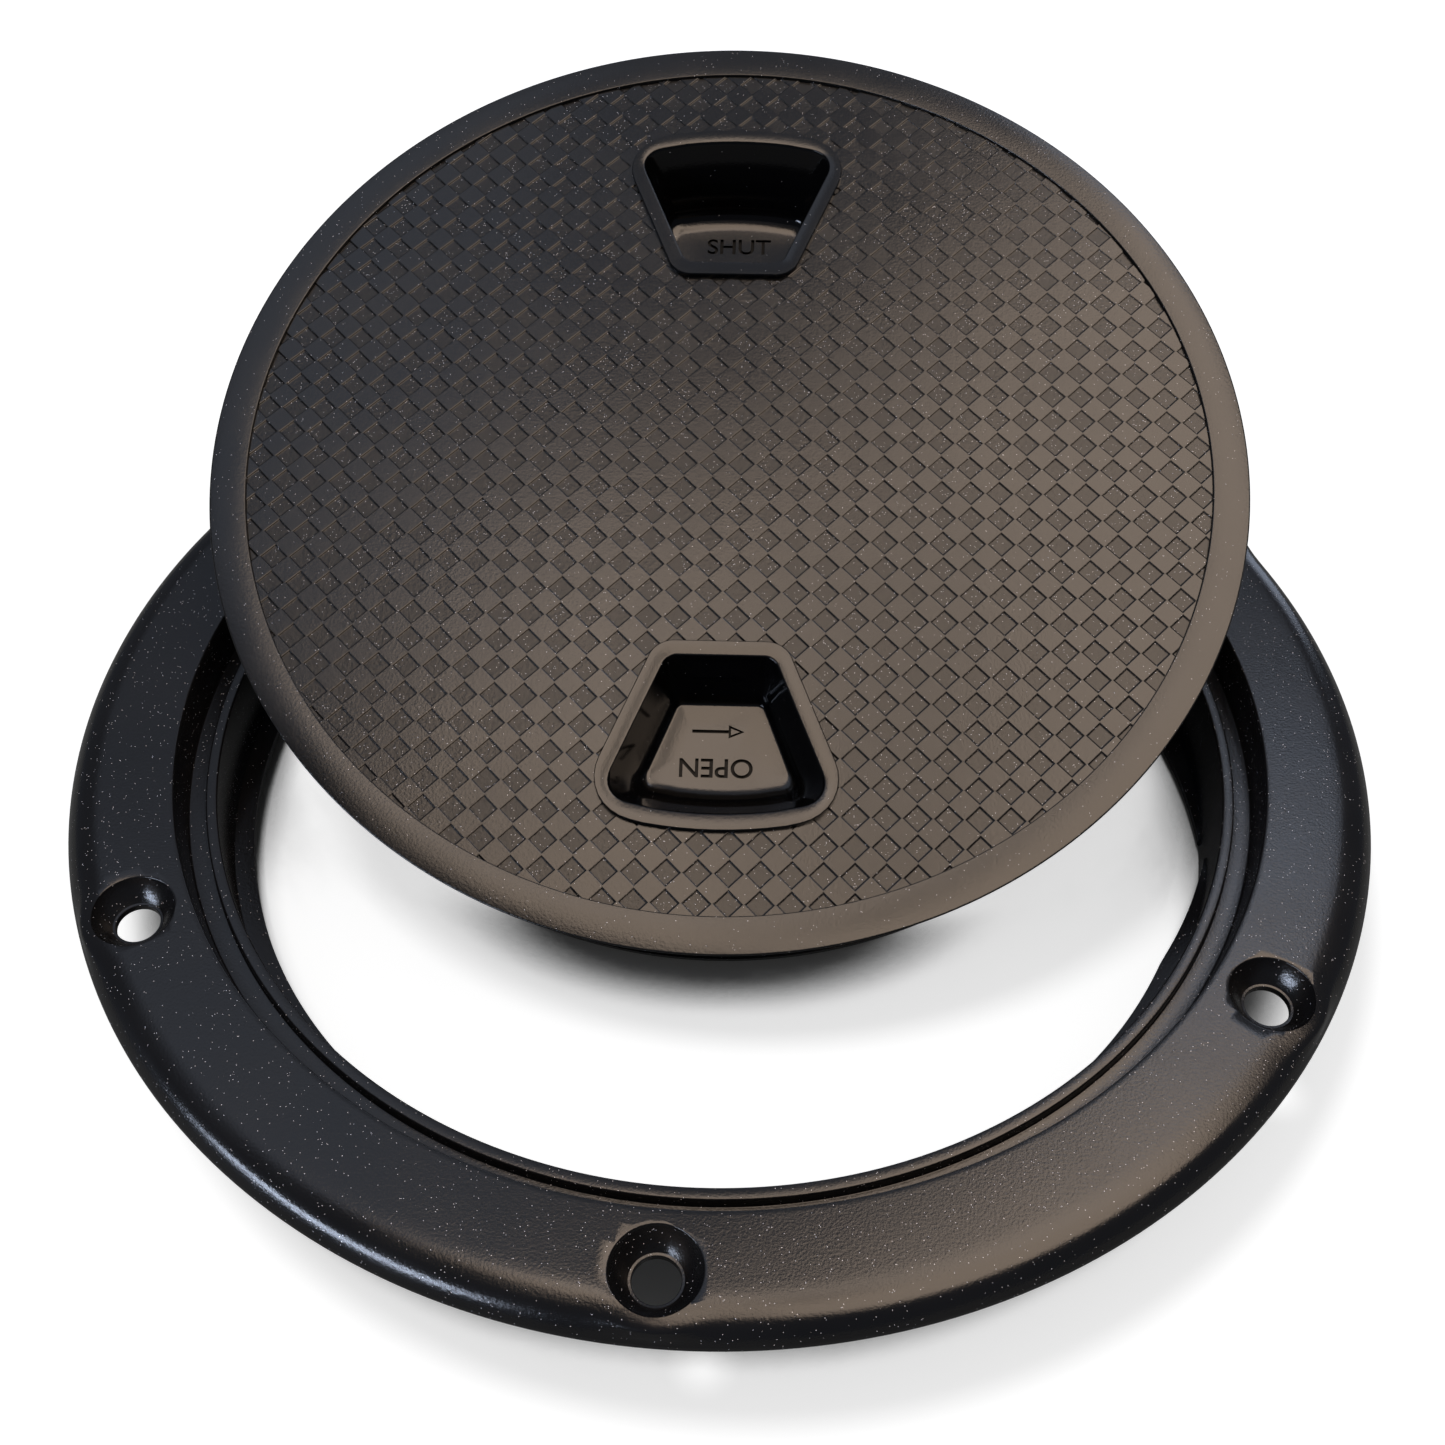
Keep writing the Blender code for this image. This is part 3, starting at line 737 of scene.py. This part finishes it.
# ---------------------------------------------------------------- finishes
# Each finish: colour, roughness, grain scale, bump, share of bright grains painted as glints, gloss.
FINISHES = {
    "ring_gloss": ("ring_black", 0.19, 2600.0, 0.50, 0.016, 0.50),
    "lid_satin": ("lid_black", 0.20, 2400.0, 0.45, 0.008, 0.50),
    "lid_sunk": ("lid_black", 0.28, 1700.0, 0.90, 0.030, 0.42),
    "pocket_gloss": ("lid_black", 0.16, 2200.0, 0.30, 0.002, 0.50),
    # the pocket walls: a real polish, with a darker colour that is painted shade
    "pocket_wall_polish_and_shade": ("wall_painted_shade", 0.09, 2200.0, 0.10, 0.001, 0.26),
    # the words and arrows: a darker colour that is painted shade in their grooves
    "letter_sunk": ("letter_painted_shade", 0.45, 2200.0, 0.30, 0.0, 0.12),
    "seal_rubber": ("seal_black", 0.55, 1800.0, 0.50, 0.0, 0.50),
}


def group_socket(group, name, kind, way, default=None):
    socket = group.interface.new_socket(name=name, in_out=way, socket_type=kind)
    if default is not None:
        socket.default_value = default
    return socket


def link(tree, source, target):
    tree.links.new(source, target)


def node(tree, kind, **values):
    made = tree.nodes.new(kind)
    for name, value in values.items():
        setattr(made, name, value)
    return made


def grain_and_glint_group():
    """Moulded grain: a fine height, soft cloudiness, and rare bright grains that are painted glints.
    """
    found = bpy.data.node_groups.get("moulded_grain_and_glints")
    if found:
        return found
    group = bpy.data.node_groups.new("moulded_grain_and_glints", "ShaderNodeTree")
    group_socket(group, "Vector", "NodeSocketVector", "INPUT")
    group_socket(group, "Grain Scale", "NodeSocketFloat", "INPUT", 2600.0)
    group_socket(group, "Cloud Scale", "NodeSocketFloat", "INPUT", 60.0)
    group_socket(group, "Spark Scale", "NodeSocketFloat", "INPUT", 6500.0)
    group_socket(group, "Spark Share", "NodeSocketFloat", "INPUT", 0.02)
    group_socket(group, "Height", "NodeSocketFloat", "OUTPUT")
    group_socket(group, "Cloud", "NodeSocketFloat", "OUTPUT")
    group_socket(group, "Spark", "NodeSocketFloat", "OUTPUT")
    inputs = node(group, "NodeGroupInput")
    outputs = node(group, "NodeGroupOutput")
    fine = node(group, "ShaderNodeTexNoise")
    fine.inputs["Detail"].default_value = 3.0
    fine.inputs["Roughness"].default_value = 0.6
    link(group, inputs.outputs["Vector"], fine.inputs["Vector"])
    link(group, inputs.outputs["Grain Scale"], fine.inputs["Scale"])
    link(group, fine.outputs["Fac"], outputs.inputs["Height"])
    cloud = node(group, "ShaderNodeTexNoise")
    cloud.inputs["Detail"].default_value = 4.0
    link(group, inputs.outputs["Vector"], cloud.inputs["Vector"])
    link(group, inputs.outputs["Cloud Scale"], cloud.inputs["Scale"])
    link(group, cloud.outputs["Fac"], outputs.inputs["Cloud"])
    cells = node(group, "ShaderNodeTexVoronoi", feature="F1")
    link(group, inputs.outputs["Vector"], cells.inputs["Vector"])
    link(group, inputs.outputs["Spark Scale"], cells.inputs["Scale"])
    chance = node(group, "ShaderNodeSeparateColor")
    link(group, cells.outputs["Color"], chance.inputs["Color"])
    rare = node(group, "ShaderNodeMath", operation="LESS_THAN")
    link(group, chance.outputs["Red"], rare.inputs[0])
    link(group, inputs.outputs["Spark Share"], rare.inputs[1])
    core = node(group, "ShaderNodeMath", operation="LESS_THAN")
    core.inputs[1].default_value = 0.34
    link(group, cells.outputs["Distance"], core.inputs[0])
    both = node(group, "ShaderNodeMath", operation="MULTIPLY")
    link(group, rare.outputs[0], both.inputs[0])
    link(group, core.outputs[0], both.inputs[1])
    link(group, both.outputs[0], outputs.inputs["Spark"])
    return group


def plastic(name, black, glint_speck, rough, grain, bump, glint_share, gloss):
    """Black moulded plastic with grain, cloudy roughness and rare bright grains painted as glints.
    """
    material = bpy.data.materials.new(name)
    material.use_nodes = True
    tree = material.node_tree
    shader = tree.nodes["Principled BSDF"]
    shader.inputs["IOR"].default_value = 1.5
    shader.inputs["Specular IOR Level"].default_value = gloss
    place = node(tree, "ShaderNodeTexCoord")
    effect = node(tree, "ShaderNodeGroup")
    effect.node_tree = grain_and_glint_group()
    link(tree, place.outputs["Object"], effect.inputs["Vector"])
    effect.inputs["Grain Scale"].default_value = grain
    effect.inputs["Spark Share"].default_value = glint_share
    tone = node(tree, "ShaderNodeMix", data_type="RGBA")
    tone.inputs["A"].default_value = (*[c * 0.8 for c in black], 1.0)
    tone.inputs["B"].default_value = (*[c * 1.3 for c in black], 1.0)
    link(tree, effect.outputs["Cloud"], tone.inputs["Factor"])
    # painted glints: rare bright specks mixed into the base colour
    speck = node(tree, "ShaderNodeMix", data_type="RGBA")
    speck.inputs["B"].default_value = (*glint_speck, 1.0)
    link(tree, effect.outputs["Spark"], speck.inputs["Factor"])
    link(tree, tone.outputs["Result"], speck.inputs["A"])
    link(tree, speck.outputs["Result"], shader.inputs["Base Color"])
    rough_range = node(tree, "ShaderNodeMapRange")
    rough_range.inputs["From Min"].default_value = 0.3
    rough_range.inputs["From Max"].default_value = 0.7
    rough_range.inputs["To Min"].default_value = rough * 0.85
    rough_range.inputs["To Max"].default_value = rough * 1.15
    link(tree, effect.outputs["Cloud"], rough_range.inputs["Value"])
    link(tree, rough_range.outputs["Result"], shader.inputs["Roughness"])
    relief = node(tree, "ShaderNodeBump")
    relief.inputs["Strength"].default_value = bump
    relief.inputs["Distance"].default_value = RELIEF
    link(tree, effect.outputs["Height"], relief.inputs["Height"])
    link(tree, relief.outputs["Normal"], shader.inputs["Normal"])
    return material


def finish(name):
    """The named finish, made on first use."""
    found = bpy.data.materials.get(name)
    if found:
        return found
    look = bpy.context.scene.hatch_finish
    black, *values = FINISHES[name]
    return plastic(name, getattr(look, black), look.glint_speck, *values)


def paint(obj, *names):
    """One material slot per finish, in the order of the faces' indices."""
    for name in names:
        obj.data.materials.append(finish(name))


# ---------------------------------------------------------------- stage
def soft_light(name, spot, aim, size, power, tint, spin=0.0):
    """A rectangular lamp at a spot, facing a point."""
    data = bpy.data.lights.new(name, "AREA")
    data.shape = "RECTANGLE"
    data.size, data.size_y = size
    data.energy = power
    data.color = tint
    obj = bpy.data.objects.new(name, data)
    bpy.context.scene.collection.objects.link(obj)
    look = (Vector(aim) - Vector(spot)).to_track_quat("-Z", "Y").to_matrix().to_4x4()
    obj.matrix_world = Matrix.Translation(spot) @ look @ Matrix.Rotation(spin, 4, "Z")
    return obj


def floor_finish(tint):
    """Pale to the eye, dark in the plastic's reflections, with painted shade where parts stand close
    above it.
    """
    material = bpy.data.materials.new("stage_floor")
    material.use_nodes = True
    tree = material.node_tree
    shader = tree.nodes["Principled BSDF"]
    shader.inputs["Roughness"].default_value = 0.9
    shader.inputs["Specular IOR Level"].default_value = 0.0
    path = node(tree, "ShaderNodeLightPath")
    # painted shade: the floor's colour and glow darken where parts stand close above it, under the
    # flange and in the opening
    painted_shade_occlusion = node(tree, "ShaderNodeAmbientOcclusion", samples=64)
    painted_shade_occlusion.inputs["Distance"].default_value = 0.028
    under = node(tree, "ShaderNodeMapRange")
    under.inputs["From Min"].default_value = 0.38
    under.inputs["From Max"].default_value = 0.52
    link(tree, painted_shade_occlusion.outputs["AO"], under.inputs["Value"])
    seen = node(tree, "ShaderNodeMath", operation="MULTIPLY")
    link(tree, path.outputs["Is Camera Ray"], seen.inputs[0])
    link(tree, under.outputs["Result"], seen.inputs[1])
    mix = node(tree, "ShaderNodeMix", data_type="RGBA")
    mix.inputs["A"].default_value = (0.30, 0.30, 0.30, 1.0)
    mix.inputs["B"].default_value = (*tint, 1.0)
    link(tree, seen.outputs[0], mix.inputs["Factor"])
    link(tree, mix.outputs["Result"], shader.inputs["Base Color"])
    # the floor's glow is dimmed by the same painted shade
    glow = node(tree, "ShaderNodeMath", operation="MULTIPLY")
    glow.inputs[1].default_value = 0.62
    link(tree, seen.outputs[0], glow.inputs[0])
    shader.inputs["Emission Color"].default_value = (1.0, 1.0, 1.0, 1.0)
    link(tree, glow.outputs[0], shader.inputs["Emission Strength"])
    return material


def build_stage(s):
    """The camera, the floor, the lamps and the surroundings."""
    scene = bpy.context.scene
    scene.view_settings.view_transform = "Standard"
    scene.view_settings.look = "None"
    camera = bpy.data.cameras.new("camera")
    camera.lens = s.lens
    camera.sensor_width = 36.0
    camera.clip_start, camera.clip_end = 0.01, 20.0
    eye = bpy.data.objects.new("camera", camera)
    scene.collection.objects.link(eye)
    turns = Matrix.Rotation(s.pan, 4, "Z") @ Matrix.Rotation(s.down, 4, "X")
    eye.matrix_world = Matrix.Translation(s.eye) @ turns @ Matrix.Rotation(s.lean, 4, "Z")
    scene.camera = eye

    bm = bmesh.new()
    bmesh.ops.create_grid(bm, x_segments=2, y_segments=2, size=6.0)
    bmesh.ops.translate(bm, verts=bm.verts, vec=(0, 0, -0.0002))
    floor = loose(bm, "stage_floor_plane")
    floor.data.materials.append(floor_finish(s.floor))

    spared = bpy.data.collections.new("spared_by_lamps")
    spared.objects.link(floor)
    spared.collection_objects[0].light_linking.link_state = "EXCLUDE"
    middle = Vector((0.0, 0.0, 0.03))
    overhead = (
        ("warm_canopy", (0.36, -0.10, 1.03), (0.98, 0.98), 12.6, s.warm, pi / 4),
        ("warm_wing", (-0.13, 0.09, 1.03), (0.26, 0.20), 0.8, s.warm, pi / 4),
        ("cool_back", (-0.1, 1.1, 1.6), (2.6, 2.2), 4.6, s.cool, 0.0),
        ("cool_left", (-0.55, 0.55, 1.5), (0.7, 0.9), 0.9, s.cool, 0.0),
        ("back_patch", (0.60, 0.98, 1.45), (0.42, 0.42), 1.5, s.cool, 0.0),
    )
    lamps = [
        soft_light(name, spot, (spot[0], spot[1], 0.0), size, power, tint, spin)
        for name, spot, size, power, tint, spin in overhead
    ]
    for name, spot, size, power in (
        ("cool_side", (-0.86, -0.72, 0.34), (0.80, 0.10), 8.0),
        ("cool_rear", (0.3, 1.5, 0.40), (1.8, 0.5), 7.0),
    ):
        lamps.append(soft_light(name, spot, middle, size, power, s.cool))
    for lamp in lamps:
        lamp.light_linking.receiver_collection = spared
    sun = bpy.data.lights.new("soft_key", "SUN")
    sun.energy = 0.80
    sun.angle = radians(14)
    key = bpy.data.objects.new("soft_key", sun)
    scene.collection.objects.link(key)
    key.matrix_world = Vector((-0.30, 0.14, 1.0)).to_track_quat("Z", "Y").to_matrix().to_4x4()
    key.visible_glossy = False

    # a narrow card under the canopy, for the dark band in its reflection
    bm = bmesh.new()
    bmesh.ops.create_grid(bm, x_segments=1, y_segments=1, size=0.5)
    bmesh.ops.scale(bm, verts=bm.verts, vec=(0.06, 0.36, 1.0))
    bmesh.ops.translate(bm, verts=bm.verts, vec=(0.095, -0.02, 0.97))
    loose(bm, "canopy_gap")

    # surroundings: dim and cool in reflections, grey as fill light, white to the eye
    world = bpy.data.worlds.new("studio")
    scene.world = world
    world.use_nodes = True
    tree = world.node_tree
    back = tree.nodes["Background"]
    path = node(tree, "ShaderNodeLightPath")
    tint = node(tree, "ShaderNodeMix", data_type="RGBA")
    tint.inputs["A"].default_value = (*[0.13 * c for c in s.cool], 1.0)
    tint.inputs["B"].default_value = (0.33, 0.33, 0.33, 1.0)
    link(tree, path.outputs["Is Diffuse Ray"], tint.inputs["Factor"])
    seen = node(tree, "ShaderNodeMix", data_type="RGBA")
    seen.inputs["B"].default_value = (1.0, 1.0, 1.0, 1.0)
    link(tree, path.outputs["Is Camera Ray"], seen.inputs["Factor"])
    link(tree, tint.outputs["Result"], seen.inputs["A"])
    link(tree, seen.outputs["Result"], back.inputs["Color"])


# ---------------------------------------------------------------- operators
class HATCH_OT_stage(bpy.types.Operator):
    """Set the camera, the floor and the lights"""

    bl_idname = "hatch.stage"
    bl_label = "Stage"

    def execute(self, context):
        build_stage(context.scene.hatch_stage)
        return {"FINISHED"}


class HATCH_OT_ring(bpy.types.Operator):
    """Build the deck ring with its recess, thread and screw holes"""

    bl_idname = "hatch.ring"
    bl_label = "Deck Ring"

    def execute(self, context):
        scene = context.scene
        bm = build_ring(scene.hatch_ring, scene.hatch_thread)
        ring = keep(bm, "ring_moulding", ring_place(), "ring")
        paint(ring, "ring_gloss")
        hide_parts("deck_ring")
        return {"FINISHED"}


class HATCH_OT_lid(bpy.types.Operator):
    """Build the lid's border, neck, skirt and thread"""

    bl_idname = "hatch.lid"
    bl_label = "Screw Lid"

    def execute(self, context):
        scene = context.scene
        bm = build_shell(
            scene.hatch_lid, scene.hatch_pocket, scene.hatch_thread, scene.hatch_ring.steps
        )
        shell = keep(bm, "lid_moulding", lid_place(scene.hatch_lid.turn), "lid")
        paint(shell, "lid_satin")
        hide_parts("screw_lid")
        return {"FINISHED"}


class HATCH_OT_tread(bpy.types.Operator):
    """Build the chequered tread inside the lid's border"""

    bl_idname = "hatch.tread"
    bl_label = "Tread"

    def execute(self, context):
        scene = context.scene
        bm = build_tread(
            scene.hatch_lid, scene.hatch_pocket, scene.hatch_tread, scene.hatch_ring.steps
        )
        tread = keep(bm, "lid_tread", lid_place(scene.hatch_lid.turn), "lid", 8.0)
        paint(tread, "lid_satin", "lid_sunk")
        return {"FINISHED"}


class HATCH_OT_pockets(bpy.types.Operator):
    """Build the two finger pockets with their frames, words and arrows"""

    bl_idname = "hatch.pockets"
    bl_label = "Finger Pockets"

    def execute(self, context):
        scene = context.scene
        names = ("pocket_open", "pocket_shut")
        for name, bm in zip(names, build_pockets(scene.hatch_pocket, scene.hatch_lid)):
            pocket = keep(bm, name, lid_place(scene.hatch_lid.turn), "lid", 30.0)
            paint(pocket, "pocket_gloss", "pocket_wall_polish_and_shade", "letter_sunk")
        return {"FINISHED"}


class HATCH_OT_seal(bpy.types.Operator):
    """Build the O-ring on the lid's neck"""

    bl_idname = "hatch.seal"
    bl_label = "O-ring"

    def execute(self, context):
        scene = context.scene
        bm = build_seal(scene.hatch_seal, scene.hatch_lid, scene.hatch_ring.steps)
        seal = keep(bm, "seal_ring", lid_place(scene.hatch_lid.turn), "seal")
        paint(seal, "seal_rubber")
        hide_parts("lid_o_ring")
        return {"FINISHED"}


class HATCH_PT_panel(bpy.types.Panel):
    bl_label = "Deck Hatch"
    bl_space_type = "VIEW_3D"
    bl_region_type = "UI"
    bl_category = "Deck Hatch"

    def draw(self, context):
        for operator in OPERATORS:
            self.layout.operator(operator.bl_idname)


SETTINGS = {
    "hatch_ring": HatchRingSizes,
    "hatch_thread": HatchThreadSizes,
    "hatch_lid": HatchLidSizes,
    "hatch_tread": HatchTreadSizes,
    "hatch_pocket": HatchPocketSizes,
    "hatch_seal": HatchSealSizes,
    "hatch_finish": HatchFinish,
    "hatch_stage": HatchStage,
}
OPERATORS = (
    HATCH_OT_stage,
    HATCH_OT_ring,
    HATCH_OT_lid,
    HATCH_OT_tread,
    HATCH_OT_pockets,
    HATCH_OT_seal,
)


def register():
    for group in SETTINGS.values():
        bpy.utils.register_class(group)
    for name, group in SETTINGS.items():
        setattr(bpy.types.Scene, name, PointerProperty(type=group))
    for operator in OPERATORS:
        bpy.utils.register_class(operator)
    bpy.utils.register_class(HATCH_PT_panel)


def unregister():
    bpy.utils.unregister_class(HATCH_PT_panel)
    for operator in reversed(OPERATORS):
        bpy.utils.unregister_class(operator)
    for name in SETTINGS:
        delattr(bpy.types.Scene, name)
    for group in SETTINGS.values():
        bpy.utils.unregister_class(group)


def main():
    register()
    bpy.ops.hatch.stage()
    bpy.ops.hatch.ring()
    bpy.ops.hatch.lid()
    bpy.ops.hatch.tread()
    bpy.ops.hatch.pockets()
    bpy.ops.hatch.seal()


if __name__ == "__main__":
    main()
